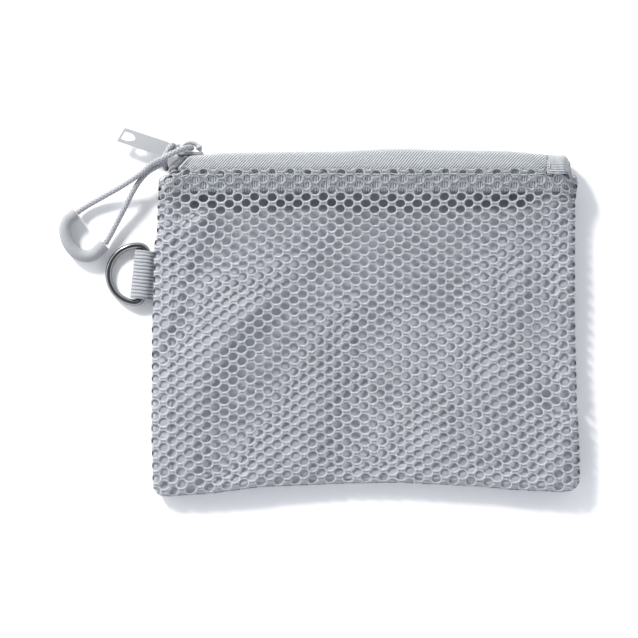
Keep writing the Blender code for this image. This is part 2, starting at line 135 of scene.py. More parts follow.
# ---------------------------------------------------------------- materials
class Look:
    """A Principled material with short helpers for its nodes."""

    def __init__(self, name, colour, rough, metallic=0.0, specular=0.4, sheen=0.0):
        self.material = bpy.data.materials.new(name)
        self.material.use_nodes = True
        self.tree = self.material.node_tree
        self.shader = self.tree.nodes["Principled BSDF"]
        self.set("Base Color", (*colour, 1.0))
        self.set("Roughness", rough)
        self.set("Metallic", metallic)
        self.set("Specular IOR Level", specular)
        self.set("Sheen Weight", sheen)
        self.set("Sheen Roughness", 0.5)

    def set(self, socket, value):
        self.shader.inputs[socket].default_value = value

    def node(self, kind, *inputs, **settings):
        made = self.tree.nodes.new(kind)
        for key, value in settings.items():
            setattr(made, key, value)
        for i, value in enumerate(inputs):
            if value is None:
                continue
            if isinstance(value, bpy.types.NodeSocket):
                self.tree.links.new(value, made.inputs[i])
            else:
                made.inputs[i].default_value = value
        return made

    def math(self, operation, a, b=None, c=None):
        return self.node("ShaderNodeMath", a, b, c, operation=operation).outputs[0]

    def uv(self):
        """The piece's own (u, v), in millimetres along its cloth."""
        split = self.node("ShaderNodeSeparateXYZ", self.node("ShaderNodeUVMap", uv_map="uv").outputs[0])
        return split.outputs[0], split.outputs[1]

    def object_coords(self):
        return self.node("ShaderNodeTexCoord").outputs["Object"]

    def wave(self, value, pitch, phase=0.0):
        """A sine of the value, from -1 to 1, once every pitch."""
        turned = self.math("MULTIPLY_ADD", value, 2 * math.pi / pitch, phase)
        return self.math("SINE", turned)

    def noise(self, coords, scale, detail, roughness=0.55):
        made = self.node("ShaderNodeTexNoise", noise_dimensions="3D")
        self.tree.links.new(coords, made.inputs["Vector"])
        made.inputs["Scale"].default_value = scale
        made.inputs["Detail"].default_value = detail
        made.inputs["Roughness"].default_value = roughness
        return made.outputs["Fac"]

    def attribute(self, name):
        return self.node("ShaderNodeAttribute", attribute_name=name).outputs["Fac"]

    def spread(self, value, low, high):
        """The value's range from low to high, stretched to 0 to 1."""
        return self.node("ShaderNodeMapRange", value, low, high, 0.0, 1.0).outputs[0]

    def tint(self, amount, dark, light):
        """Base colour between two colours."""
        mix = self.node("ShaderNodeMix", data_type="RGBA")
        self.tree.links.new(amount, mix.inputs["Factor"])
        mix.inputs[6].default_value = (*dark, 1.0)
        mix.inputs[7].default_value = (*light, 1.0)
        self.tree.links.new(mix.outputs[2], self.shader.inputs["Base Color"])

    def rough(self, amount, low, high):
        made = self.node("ShaderNodeMapRange", amount, 0.0, 1.0, low, high)
        self.tree.links.new(made.outputs[0], self.shader.inputs["Roughness"])

    def bump(self, height, depth, strength=1.0):
        """Raises the surface by up to depth millimetres."""
        made = self.node("ShaderNodeBump")
        made.inputs["Strength"].default_value = strength
        made.inputs["Distance"].default_value = depth * MM
        self.tree.links.new(height, made.inputs["Height"])
        self.tree.links.new(made.outputs[0], self.shader.inputs["Normal"])


def knit_look():
    look = Look("knit_thread", (0.46, 0.475, 0.50), 0.7, specular=0.35, sheen=0.2)
    u, v = look.uv()
    # Painted shade and painted highlight: groove_shade darkens the bars and the threads' undersides and
    # leaves the ridges light.
    groove_shade = look.attribute("groove_shade")
    fibre = look.noise(look.object_coords(), 2300.0, 3, 0.7)
    slow = look.noise(look.object_coords(), 90.0, 2)
    twist = look.wave(look.math("ADD", u, look.math("MULTIPLY", v, 1.7)), 0.55)
    light = look.math("SUBTRACT", 0.66, look.math("MULTIPLY", look.math("POWER", groove_shade, 0.6), 0.74))
    light = look.math("MULTIPLY_ADD", fibre, 1.35, light)
    light = look.math("MULTIPLY_ADD", twist, 0.10, light)
    light = look.math("MULTIPLY_ADD", slow, 0.16, light)
    look.tint(look.spread(light, 0.66, 1.50), (0.07, 0.08, 0.10), (0.745, 0.76, 0.785))
    look.bump(look.math("MULTIPLY_ADD", twist, 0.4, look.math("MULTIPLY", fibre, 2.0)), 0.16, 0.9)
    return look.material


def woven_look(name="woven_cloth"):
    look = Look(name, (0.40, 0.415, 0.46), 0.7, specular=0.3, sheen=0.25)
    u, v = look.uv()
    weave = look.math("MULTIPLY", look.wave(u, 0.72), look.wave(v, 0.66))
    slub = look.noise(look.object_coords(), 1500.0, 3, 0.65)
    slow = look.noise(look.object_coords(), 60.0, 2)
    light = look.math("MULTIPLY_ADD", weave, 0.16, look.math("MULTIPLY", slub, 0.6))
    light = look.math("MULTIPLY_ADD", slow, 0.35, light)
    look.tint(look.spread(light, 0.15, 0.85), (0.30, 0.312, 0.350), (0.585, 0.60, 0.645))
    look.bump(look.math("MULTIPLY_ADD", weave, 0.6, slub), 0.20, 0.9)
    return look.material


def tape_look(name, dark, light_colour, pitch=1.02):
    """Twill: short floats that step along a diagonal."""
    look = Look(name, light_colour, 0.7, specular=0.3, sheen=0.2)
    u, v = look.uv()
    across = look.math("MULTIPLY", v, 1.15)
    diagonal = look.wave(look.math("ADD", u, across), pitch)
    thread = look.wave(look.math("SUBTRACT", across, u), pitch * 0.55)
    fibre = look.noise(look.object_coords(), 1800.0, 3, 0.65)
    height = look.math("MULTIPLY_ADD", thread, 0.30, look.math("MULTIPLY", diagonal, 0.70))
    patchy = look.math("MULTIPLY_ADD", look.noise(look.object_coords(), 420.0, 2), 2.2, -0.45)
    light = look.math("MULTIPLY_ADD", look.math("MULTIPLY", height, patchy), 1.5,
                      look.math("MULTIPLY_ADD", fibre, 1.35, -0.17))
    look.tint(look.spread(light, 0.05, 0.95), dark, light_colour)
    look.bump(look.math("MULTIPLY_ADD", height, 0.6, look.math("MULTIPLY", fibre, 0.5)), 0.30, 0.9)
    return look.material


def ribbed_look(name, dark, light_colour, pitch, along_v=True, plain_above=None):
    """Grosgrain: fine ribs across the strip, smooth past a given v."""
    look = Look(name, light_colour, 0.7, specular=0.3, sheen=0.2)
    u, v = look.uv()
    rib = look.wave(v if along_v else u, pitch)
    if plain_above is not None:
        rib = look.math("MULTIPLY", rib, look.spread(v, plain_above, plain_above - 1.0))
    cross = look.wave(u if along_v else v, 0.46)
    fibre = look.noise(look.object_coords(), 1900.0, 3, 0.65)
    light = look.math("MULTIPLY_ADD", rib, 0.36, look.math("MULTIPLY_ADD", fibre, 0.6, 0.2))
    light = look.math("MULTIPLY_ADD", cross, 0.06, light)
    look.tint(look.spread(light, 0.1, 0.9), dark, light_colour)
    height = look.math("MULTIPLY_ADD", rib, 0.5, look.math("MULTIPLY", cross, 0.12))
    look.bump(look.math("MULTIPLY_ADD", fibre, 0.4, height), 0.22, 0.9)
    return look.material


def webbing_look():
    look = Look("webbing", (0.42, 0.43, 0.45), 0.7, specular=0.3, sheen=0.2)
    u, v = look.uv()
    hatch = look.wave(look.math("MULTIPLY_ADD", v, 0.8, u), 0.72)
    fibre = look.noise(look.object_coords(), 1900.0, 3, 0.65)
    # Painted shade: the colour darkens in the grooves between the ribs.
    light = look.math("MULTIPLY_ADD", look.attribute("groove_shade"), -0.85,
                      look.math("MULTIPLY_ADD", fibre, 1.1, 0.25))
    light = look.math("MULTIPLY_ADD", hatch, 0.34, light)
    look.tint(look.spread(light, 0.0, 1.0), (0.11, 0.115, 0.13), (0.42, 0.433, 0.45))
    look.bump(look.math("MULTIPLY_ADD", hatch, 0.3, fibre), 0.16, 0.9)
    return look.material


def thread_look():
    look = Look("sewing_thread", (0.46, 0.475, 0.495), 0.6, specular=0.35, sheen=0.15)
    coords = look.object_coords()
    fibre = look.noise(coords, 3000.0, 2, 0.6)
    look.tint(fibre, (0.34, 0.35, 0.37), (0.54, 0.555, 0.58))
    look.bump(fibre, 0.06, 0.7)
    return look.material


def coil_look():
    look = Look("nylon_coil", (0.44, 0.455, 0.465), 0.35, specular=0.5)
    mottle = look.noise(look.object_coords(), 900.0, 2)
    look.tint(mottle, (0.40, 0.415, 0.425), (0.47, 0.485, 0.495))
    look.rough(mottle, 0.28, 0.45)
    look.bump(mottle, 0.02, 0.5)
    return look.material


def painted_look():
    """Satin paint over cast zinc, a little worn where it rubs."""
    look = Look("slider_paint", (0.38, 0.39, 0.40), 0.34, specular=0.5)
    coords = look.object_coords()
    fine = look.noise(coords, 2200.0, 2, 0.5)
    slow = look.noise(coords, 120.0, 3, 0.6)
    look.tint(look.math("MULTIPLY_ADD", fine, 0.4, look.math("MULTIPLY", slow, 0.6)),
              (0.315, 0.325, 0.333), (0.365, 0.375, 0.383))
    look.rough(slow, 0.27, 0.42)
    look.bump(look.math("MULTIPLY_ADD", slow, 0.6, look.math("MULTIPLY", fine, 0.3)), 0.03, 0.5)
    return look.material


def nickel_look():
    look = Look("dark_nickel", (0.24, 0.24, 0.25), 0.10, metallic=1.0)
    coords = look.object_coords()
    scuffs = look.noise(coords, 700.0, 4, 0.7)
    slow = look.noise(coords, 160.0, 2)
    look.tint(slow, (0.20, 0.203, 0.208), (0.26, 0.262, 0.268))
    look.rough(scuffs, 0.04, 0.20)
    look.bump(scuffs, 0.01, 0.4)
    return look.material


def braid_look():
    look = Look("braided_cord", (0.37, 0.38, 0.40), 0.7, specular=0.3, sheen=0.2)
    # Painted shade: the colour darkens in the grooves between the braid's strands.
    groove_shade = look.attribute("groove_shade")
    fibre = look.noise(look.object_coords(), 2400.0, 3, 0.65)
    light = look.math("MULTIPLY_ADD", fibre, 0.5,
                      look.math("SUBTRACT", 0.8, look.math("MULTIPLY", groove_shade, 0.8)))
    look.tint(look.spread(light, 0.1, 1.2), (0.15, 0.155, 0.165), (0.40, 0.41, 0.425))
    look.bump(fibre, 0.14, 0.9)
    return look.material


def grip_look():
    look = Look("soft_grip", (0.33, 0.34, 0.347), 0.65, specular=0.15)
    look.set("Subsurface Weight", 0.15)
    look.set("Subsurface Scale", 0.002)
    look.set("Subsurface Radius", (1.0, 0.9, 0.85))
    coords = look.object_coords()
    fine = look.noise(coords, 1800.0, 2, 0.5)
    slow = look.noise(coords, 150.0, 3)
    look.tint(slow, (0.285, 0.293, 0.30), (0.308, 0.316, 0.323))
    look.rough(slow, 0.60, 0.74)
    look.bump(look.math("MULTIPLY_ADD", slow, 0.8, look.math("MULTIPLY", fine, 0.2)), 0.04, 0.5)
    return look.material


# ---------------------------------------------------------------- mesh helpers
def add_mesh(name, points, faces, look, uv=None, smooth=True, attributes=None):
    """A mesh object from points in millimetres."""
    mesh = bpy.data.meshes.new(name)
    mesh.from_pydata((np.asarray(points, float) * MM).tolist(), [], [list(map(int, f)) for f in faces])
    mesh.update()
    if smooth:
        mesh.shade_smooth()
    if uv is not None:
        layer = mesh.uv_layers.new(name="uv")
        corner = np.zeros(len(mesh.loops), np.int32)
        mesh.loops.foreach_get("vertex_index", corner)
        layer.data.foreach_set("uv", np.asarray(uv, np.float32)[corner].ravel())
    for key, values in (attributes or {}).items():
        made = mesh.attributes.new(key, "FLOAT", "POINT")
        made.data.foreach_set("value", np.asarray(values, np.float32))
    obj = bpy.data.objects.new(name, mesh)
    scene.collection.objects.link(obj)
    mesh.materials.append(look)
    return obj


def settle(obj, body, slot, *nodes):
    """The piece rides on a body and stands for these nodes. The slot is not used."""
    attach(obj, body)
    if nodes:
        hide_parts(*nodes)
    return obj


def spline_points(points, spacing):
    """Evenly spaced points on a Catmull-Rom curve."""
    p = np.asarray(points, float)
    p = np.vstack([2 * p[0] - p[1], p, 2 * p[-1] - p[-2]])
    fine = []
    for a, b, c, d in zip(p, p[1:], p[2:], p[3:]):
        t = np.linspace(0, 1, 24, endpoint=False)[:, None]
        fine.append(0.5 * (2 * b + (c - a) * t + (2 * a - 5 * b + 4 * c - d) * t**2
                           + (3 * b - a - 3 * c + d) * t**3))
    fine = np.vstack([*fine, p[-2:-1]])
    travel = np.concatenate([[0], np.cumsum(np.linalg.norm(np.diff(fine, axis=0), axis=1))])
    count = max(2, int(round(travel[-1] / spacing)))
    at = np.linspace(0, travel[-1], count + 1)
    return np.stack([np.interp(at, travel, fine[:, k]) for k in range(3)], axis=1), at


def frames_along(line):
    """Two directions across a line that don't twist along it."""
    tangent = np.gradient(line, axis=0)
    tangent /= np.linalg.norm(tangent, axis=1)[:, None]
    start = np.cross(tangent[0], [0, 0, 1.0])
    if np.linalg.norm(start) < 0.1:
        start = np.cross(tangent[0], [0, 1.0, 0])
    sides = [start / np.linalg.norm(start)]
    for t in tangent[1:]:
        s = sides[-1] - t * np.dot(sides[-1], t)
        sides.append(s / np.linalg.norm(s))
    sides = np.array(sides)
    return sides, np.cross(tangent, sides)


def quads(rows, columns, closed_columns=False, start=0):
    """Faces of a grid of points, row by row."""
    faces = []
    last = columns if closed_columns else columns - 1
    for r in range(rows - 1):
        base, up = start + r * columns, start + (r + 1) * columns
        for c in range(last):
            n = (c + 1) % columns
            faces.append((base + c, base + n, up + n, up + c))
    return faces


def tube(line, radius, sides=8, capped=True, start=0):
    """Points and faces of a round tube; radius may be an array of rows by sides."""
    across, up = frames_along(line)
    angle = np.linspace(0, 2 * math.pi, sides, endpoint=False)
    r = np.broadcast_to(np.asarray(radius, float), (len(line), sides))
    ring = across[:, None] * np.cos(angle)[None, :, None] + up[:, None] * np.sin(angle)[None, :, None]
    points = (line[:, None] + ring * r[:, :, None]).reshape(-1, 3)
    faces = [f[::-1] for f in quads(len(line), sides, True, start)]
    if capped:
        faces.append(tuple(range(start, start + sides)))
        end = start + (len(line) - 1) * sides
        faces.append(tuple(range(end, end + sides))[::-1])
    return points, faces


def step(x, low, high):
    """0 below low, 1 above high, smooth between; works on arrays."""
    t = np.clip((np.asarray(x, float) - low) / (high - low), 0, 1)
    return t * t * (3 - 2 * t)


def soft_noise(u, v, scale, seed):
    """Smooth repeatable waves from a few sines in seeded directions."""
    random = np.random.default_rng(seed)
    total = np.zeros(np.broadcast(u, v).shape)
    for _ in range(7):
        a, f, p = random.uniform(0, 2 * math.pi), random.uniform(0.6, 1.5) / scale, random.uniform(0, 6.3)
        total = total + np.sin(2 * math.pi * f * (u * math.cos(a) + v * math.sin(a)) + p)
    return total / 4.0


# ---------------------------------------------------------------- the lie of the cloth
GRID = 2.0
U_LINE = np.arange(-75.0, 75.01, GRID)
V_LINE = np.arange(-60.0, 54.01, GRID)
# Where the woven cloth hangs away from the mesh, and where it pushes the mesh up: from (x, y) to
# (x, y), half width, and by how much.
HOLLOWS = [
    (-46, 31, 48, 31, 13.0, 2.6), (-40, 18, 40, 16, 9.0, 1.4), (34, 6, 60, -4, 13.0, 1.9),
    (57, 38, 57, 12, 2.6, 1.4), (-5, -36, -2, -42, 5.0, 1.0), (26, -12, 34, -24, 6.0, 1.2),
    (65.0, -29.5, 71.5, -30.5, 3.4, 4.6), (9, -27, 10, -31, 4.0, 1.6),
    (37, -37, 38, -40, 5.0, 1.0), (-57, 43, -69.5, 35, 2.6, 2.4),
    (-54.0, 41, -56.7, 26, 2.0, 2.6), (-56.7, 26, -61.0, 14, 2.0, 2.6), (-61.0, 14, -63.2, 2, 2.0, 2.4),
    (-63.2, 2, -70.5, -12, 2.6, 2.6), (-19.5, 21.3, -29.4, 4.4, 5.0, 1.0),
    (-29.4, 4.4, -44.2, -13.9, 5.5, 1.8), (-44.2, -13.9, -49.5, -28, 4.5, 1.6),
    (-52, -20, -54, -40, 4.0, 0.9), (3, -3, 1, 1, 3.5, 1.2),
]
RIDGES = [
    (-71, 31.5, -59, 38.0, 3.0, 1.3), (0, -22, 4, -32, 4.5, 1.0), (67, 42, 69, -18, 4.0, 0.9),
    (-66, -42, -62, -54, 4.0, 0.9),
    (-36, -44, -40, -56, 6.0, 1.2), (34, -48, 40, -58, 5.5, 1.0),
]
# Lopsided folds: the crest's points with its height at each, and how far it slopes on its
# upper-left side and on its lower-right side.
FOLDS = [
    (((-14, 42, 1.6), (-19, 24, 2.4), (-28, 13, 3.4), (-40, 1, 4.6), (-49, -12, 4.6), (-53.5, -24, 3.6),
      (-57, -44, 2.0)), 21.0, 6.6),
    (((-56, 42, 2.4), (-58.5, 26, 2.4), (-63, 14, 2.2), (-65, 2, 2.2), (-72, -11, 2.0)), 9.0, 2.4),
    (((53, 42, 1.4), (54.5, 28, 1.4), (57, 12, 0.8)), 8.0, 2.8),
    (((-6, -9, 1.2), (-4, -2, 2.0), (-2, 4, 1.0)), 7.0, 3.6),
    (((-12, -10, 1.2), (-18, -28, 2.6), (-24, -54, 2.2)), 14.0, 15.0),
    (((54, 24, 1.8), (55, 6, 2.6), (52, -16, 1.6)), 20.0, 8.0),
    (((24, -34, 1.0), (23, -44, 2.0), (21, -57, 1.6)), 13.0, 8.0),
    (((65, -36, 1.0), (68, -46, 2.0), (71, -56, 1.6)), 12.0, 4.0),
]


def pushed(x, y, marks):
    """How much a list of capsules adds up to at (x, y)."""
    total = np.zeros(np.broadcast(x, y).shape)
    for x0, y0, x1, y1, width, amount in marks:
        dx, dy = x1 - x0, y1 - y0
        t = np.clip(((x - x0) * dx + (y - y0) * dy) / (dx * dx + dy * dy), 0, 1)
        away = np.hypot(x - x0 - t * dx, y - y0 - t * dy)
        total = np.maximum(total, amount * np.exp(-((away / width) ** 2.6) * 0.9))
    return total


def folded(x, y):
    """Height of the lopsided folds at (x, y)."""
    total = np.zeros(np.broadcast(x, y).shape)
    for points, rise, fall in FOLDS:
        best = np.full(total.shape, 1e9)
        value = np.zeros(total.shape)
        for (x0, y0, h0), (x1, y1, h1) in zip(points, points[1:]):
            dx, dy = x1 - x0, y1 - y0
            t = np.clip(((x - x0) * dx + (y - y0) * dy) / (dx * dx + dy * dy), 0, 1)
            away = np.hypot(x - x0 - t * dx, y - y0 - t * dy)
            right = ((x - x0) * dy - (y - y0) * dx) * np.sign(-dy) < 0
            new = (h0 + (h1 - h0) * t) * np.exp(-((away / np.where(right, fall, rise)) ** 2))
            value = np.where(away < best, new, value)
            best = np.minimum(best, away)
        total = total + value
    return total


DRAPE_ROUNDS = 900
SAG = 0.0045


def drape(floor_z=None):
    """Heights of the mesh front, hung from its seams and lying on what is under it."""
    u, v = np.meshgrid(U_LINE, V_LINE)
    held = np.zeros(u.shape, bool)
    held[0], held[:, 0], held[:, -1] = True, True, True
    held[v >= 45.5] = True
    over_tape = np.interp(v, [45.5, 46.5, 48.4, 51.0, 53.0, 56.0], [8.15, 8.45, 9.1, 9.8, 9.95, 10.0])
    corner = step(75.5 - np.abs(u), 0.0, 5.0)
    edge = 5.3 + 0.9 * step(u, 20, 75) + 0.25 * np.sin(u / 9.0) + 0.25 * np.sin(v / 7.0)
    z = np.where(v >= 45.5, edge + (over_tape - edge) * corner, edge)
    fixed = z.copy()
    for _ in range(DRAPE_ROUNDS):
        mean = z.copy()
        mean[1:-1, 1:-1] = (z[:-2, 1:-1] + z[2:, 1:-1] + z[1:-1, :-2] + z[1:-1, 2:]) / 4 - SAG
        z = mean if floor_z is None else np.maximum(mean, floor_z)
        z = np.where(held, fixed, z)
    return z


def lay_cloth():
    u, v = np.meshgrid(U_LINE, V_LINE)
    free = drape() + 1.2 * np.exp(-(((np.abs(u) - 40) / 36) ** 2)) * step(30 - v, 0, 40)
    rough = 0.7 * soft_noise(u, v, 13, 3) + 0.45 * soft_noise(u, v, 7, 8)
    mouth = 6.5 * step(v, 37, 44) * step(u, -70, -60) * step(64 - u, 0, 10)
    gap = 0.95 + 0.30 * rough + pushed(u, v, HOLLOWS) + mouth + 1.5 * step(v, 42, 46)
    inner = step(75 - np.abs(u), 1, 9) * step(v + 60, 1, 9) * step(46 - v, 0, 6)
    raised = (pushed(u, v, RIDGES) + folded(u, v)) * inner
    back = np.maximum(free - np.maximum(gap, 0.55) - 0.8 * inner + raised, 0.55)
    for _ in range(2):
        back[1:-1, 1:-1] = (back[1:-1, 1:-1] * 2 + (back[:-2, 1:-1] + back[2:, 1:-1]
                            + back[1:-1, :-2] + back[1:-1, 2:]) / 2) / 4
    back = np.maximum(back, 0.5)
    tape = np.maximum(np.exp(-(((np.abs(u) - 70.0) / 2.6) ** 4)) * (v < 43.5),
                      np.exp(-(((v + 55.8) / 2.6) ** 4)) * (np.abs(u) < 72))
    front = drape(back + 0.52 + 0.45 * tape)
    return front, back


FRONT_Z, BACK_Z = lay_cloth()


def sample(grid, u, v):
    """Smooth height at any (u, v)."""
    fu = np.clip((np.asarray(u, float) - U_LINE[0]) / GRID, 0, len(U_LINE) - 1.001)
    fv = np.clip((np.asarray(v, float) - V_LINE[0]) / GRID, 0, len(V_LINE) - 1.001)
    iu, iv = fu.astype(int), fv.astype(int)
    tu, tv = fu - iu, fv - iv
    return ((grid[iv, iu] * (1 - tu) + grid[iv, iu + 1] * tu) * (1 - tv)
            + (grid[iv + 1, iu] * (1 - tu) + grid[iv + 1, iu + 1] * tu) * tv)


def plan(u, v):
    """Where a point of the flat panel lies on the table: the sewn outline isn't quite square."""
    s = (v + 60.0) / 113.0
    low_y = np.interp(u, [-75, -69, -55, -37, -23, -5, 12, 40, 51, 68, 75],
                      [-62.3, -62.1, -61.1, -58.7, -58.2, -57.5, -57.2, -58.6, -59.7, -60.4, -60.0])
    y = low_y + (53.0 - low_y) * s
    left = np.interp(y, [-60, -42, -3, 8, 26, 31, 50, 53],
                     [-75.0, -75.5, -75.4, -74.8, -74.6, -73.6, -73.0, -72.8])
    right = np.interp(y, [-60, -49, -28, 7, 42, 50, 53], [75.4, 75.5, 74.4, 73.7, 73.8, 74.6, 74.2])
    dip = 3.1 * step(-u, 62, 76) + 1.6 * step(-u, 72.5, 77) + 2.6 * step(u, 69, 74)
    return left + (right - left) * (u + 75.0) / 150.0, y - dip * step(v, 36, 53)


def fold(u, v, radius, corner, inset=0.0):
    """Points past the panel's edge turn down round it: new (u, v) and the drop."""
    cu, cv = np.abs(u) - (75.0 - inset - corner), -v - (60.0 - inset - corner)
    outside = np.hypot(np.maximum(cu, 0), np.maximum(cv, 0)) + np.minimum(np.maximum(cu, cv), 0)
    past = np.maximum(outside - corner + radius, 0)
    nu = np.where(cu > 0, cu, 0) * np.sign(u)
    nv = -np.where(cv > 0, cv, 0)
    inner = (cu <= 0) & (cv <= 0)
    nu = np.where(inner & (cu >= cv), np.sign(u), nu)
    nv = np.where(inner & (cu < cv), -1.0, nv)
    length = np.maximum(np.hypot(nu, nv), 1e-9)
    nu, nv = nu / length, nv / length
    turn = np.minimum(past / radius, 1.75)
    rest = past - turn * radius
    out = radius * np.sin(turn) + rest * np.cos(turn) - past
    return u + nu * out, v + nv * out, radius * (1 - np.cos(turn)) + rest * np.sin(turn)


# ---------------------------------------------------------------- the panels
COLUMN, ROW = 3.07, 4.29
HOLE_A, HOLE_B = 1.68, 1.38
THREAD = 0.27


def knit_cells():
    """The open knit as rings round its holes: flat (u, v), height in the thread, painted shade, faces."""
    corner_x = COLUMN - (COLUMN**2 + (ROW / 2) ** 2) / 2 / COLUMN
    far_x = (COLUMN**2 + (ROW / 2) ** 2) / 2 / COLUMN
    hexagon = [(far_x, 0), (corner_x, ROW / 2), (-corner_x, ROW / 2), (-far_x, 0),
               (-corner_x, -ROW / 2), (corner_x, -ROW / 2)]
    border = []
    for i, (a, b) in enumerate(zip(hexagon, hexagon[1:] + hexagon[:1])):
        parts = 2 if i in (1, 4) else 4
        border += [(np.array(a) * (1 - k / parts) + np.array(b) * k / parts) for k in range(parts)]
    border = np.array(border)
    angle = np.arctan2(border[:, 1], border[:, 0])
    random = np.random.default_rng(11)
    points, level, groove_shade, faces, found = [], [], [], [], {}

    def point(p, w, g, shared=None):
        if shared is not None and shared in found:
            return found[shared]
        points.append(p)
        level.append(w)
        groove_shade.append(g)
        if shared is not None:
            found[shared] = len(points) - 1
        return len(points) - 1

    for i in range(-22, 29):
        for j in range(-25, 4):
            centre = np.array([-9.33 + COLUMN * i, 43.05 + ROW * (j + (0.5 if i % 2 else 0))])
            if abs(centre[0]) > 77.6 or not -62.6 < centre[1] < 54.6:
                continue
            pressed = float(step(centre[1], 43.5, 47.0))
            size = 1 - 0.17 * pressed + random.normal(0, 0.02 + 0.05 * pressed, 2)
            moved = centre + random.normal(0, 0.05 + 0.12 * pressed, 2)
            hole = np.stack([HOLE_A * size[0] * np.sign(np.cos(angle)) * np.abs(np.cos(angle)) ** 0.93,
                             HOLE_B * size[1] * np.sign(np.sin(angle)) * np.abs(np.sin(angle)) ** 1.06], 1)
            rim = moved + hole
            outer = centre + border
            span = np.linalg.norm(outer - rim, axis=1)
            share = np.clip(THREAD / span, 0, 0.9)[:, None]
            ridge = rim * (1 - share) + outer * share
            dip = np.clip((span - 0.30) / 0.5, 0, 1)
            rings = []
            # Painted shade by ring: some on the hole's edge, little on the ridge (a painted highlight),
            # more on the bars and most underneath.
            rings.append([point(p, 0.0, 0.30) for p in rim])
            rings.append([point(p, THREAD, 0.22 * pressed) for p in ridge])
            top, under = [], []
            for p, d in zip(outer, dip):
                key = (round(p[0] * 50), round(p[1] * 50))
                top.append(point(p, THREAD * (1 - 0.75 * d), 0.40 + 0.35 * float(d), (*key, 1)))
                under.append(point(p, -THREAD * 0.8, 0.6, (*key, 0)))
            count = len(border)
            for k in range(count):
                n = (k + 1) % count
                faces.append((rings[0][k], rings[1][k], rings[1][n], rings[0][n]))
                faces.append((rings[1][k], top[k], top[n], rings[1][n]))
                faces.append((rings[0][k], rings[0][n], under[n], under[k]))
    return np.array(points), np.array(level), np.array(groove_shade), faces


def shell(name, top, low, rows, wide, look, uv, groove_shade=None):
    """A closed sheet between two grids of points."""
    count = rows * wide
    upper = quads(rows, wide)
    faces = upper + [tuple(i + count for i in f[::-1]) for f in upper]
    rim = (list(range(wide)) + [r * wide + wide - 1 for r in range(1, rows)]
           + [(rows - 1) * wide + c for c in range(wide - 2, -1, -1)]
           + [r * wide for r in range(rows - 2, 0, -1)])
    for a, b in zip(rim, rim[1:] + rim[:1]):
        faces.append((b, a, a + count, b + count))
    # groove_shade carries a piece's painted shade over to its material.
    marks = None if groove_shade is None else {"groove_shade": np.concatenate([groove_shade, groove_shade])}
    points, uvs = np.concatenate([top, low]), np.concatenate([uv, uv])
    made = add_mesh(name, points, faces, look, uvs, attributes=marks)
    bm = bmesh.new()
    bm.from_mesh(made.data)
    bmesh.ops.recalc_face_normals(bm, faces=bm.faces)
    bm.to_mesh(made.data)
    bm.free()
    return made


def make_front():
    flat, level, groove_shade, faces = knit_cells()
    u, v = flat[:, 0], flat[:, 1]
    wander = 0.28
    u = u + wander * soft_noise(u, v, 30, 5)
    v = v + wander * soft_noise(u, v, 34, 6)
    fu, fv, drop = fold(u, v, 1.4, 4.5)
    over = np.maximum(fv - 53.1, 0)
    fv = fv - over * 0.75
    z = sample(FRONT_Z, fu, fv) - drop - 1.2 * over
    z = np.maximum(z, 0.45)
    slope_u = (sample(FRONT_Z, fu + 1, fv) - sample(FRONT_Z, fu - 1, fv)) / 2
    slope_v = (sample(FRONT_Z, fu, fv + 1) - sample(FRONT_Z, fu, fv - 1)) / 2
    x, y = plan(fu, fv)
    length = np.sqrt(1 + slope_u**2 + slope_v**2)
    points = np.stack([x - level * slope_u / length, y - level * slope_v / length,
                       z + level / length], 1)
    uv = np.stack([u, v], 1)
    front = add_mesh("mesh_front", points, faces, knit_look(), uv, attributes={"groove_shade": groove_shade})
    settle(front, "pouch", "mesh_knit", "mesh_front_panel")


def make_back():
    columns, rows = 193, 145
    u, v = np.meshgrid(np.linspace(-78.0, 78.0, columns), np.linspace(-63.0, 53.0, rows))
    fu, fv, drop = fold(u.ravel(), v.ravel(), 1.3, 4.3, 0.35)
    x, y = plan(fu, fv)
    top = sample(BACK_Z, fu, fv) - drop
    top = np.maximum(top + 0.05 * soft_noise(fu, fv, 6, 9), 0.42)
    under = np.maximum(top - 0.4, 0.02)
    uv = np.stack([u.ravel(), v.ravel()], 1)
    back = shell("woven_back", np.stack([x, y, top], 1), np.stack([x, y, under], 1), rows, columns,
                 woven_look(), uv)
    settle(back, "pouch", "woven_cloth", "back_panel")


# ---------------------------------------------------------------- the zip
def crest(x):
    """How far the slack zip bows away from its straight line."""
    rise = 1.0 + 1.15 * np.exp(-(((x - 16) / 30) ** 2)) + 0.12 * np.sin(x / 6.0)
    return rise * step(64 - x, -6, 14) * (0.25 + 0.75 * step(x, -57, -49))


def strip(name, section, low, high, columns, thickness, look, bow=True, shape=None):
    """A closed strip along X of a bent section given as (z from the chain, y)."""
    line = np.array([(0.0, y, z) for z, y in section], float)
    line, travel = spline_points(line, 0.35)
    tangent = np.gradient(line, axis=0)
    tangent /= np.linalg.norm(tangent, axis=1)[:, None]
    normal = np.stack([np.zeros(len(line)), -tangent[:, 2], tangent[:, 1]], 1)
    x = np.linspace(low, high, columns)
    layers, uvs = [], []
    for side in (0.5, -0.5):
        shifted = line + normal * thickness * side
        grid = np.repeat(shifted[None], columns, 0).copy()
        grid[:, :, 0] = x[:, None]
        grid[:, :, 2] += CHAIN_Z
        if bow:
            weight = step(grid[:, :, 1], 50.0, 57.5)
            grid[:, :, 1] += crest(x)[:, None] * weight
        if shape is not None:
            grid = shape(grid)
        layers.append(grid.reshape(-1, 3))
        a, b = np.meshgrid(travel, x)
        uvs.append(np.stack([b.ravel(), a.ravel()], 1))
    return shell(name, layers[0], layers[1], columns, len(line), look, uvs[0])


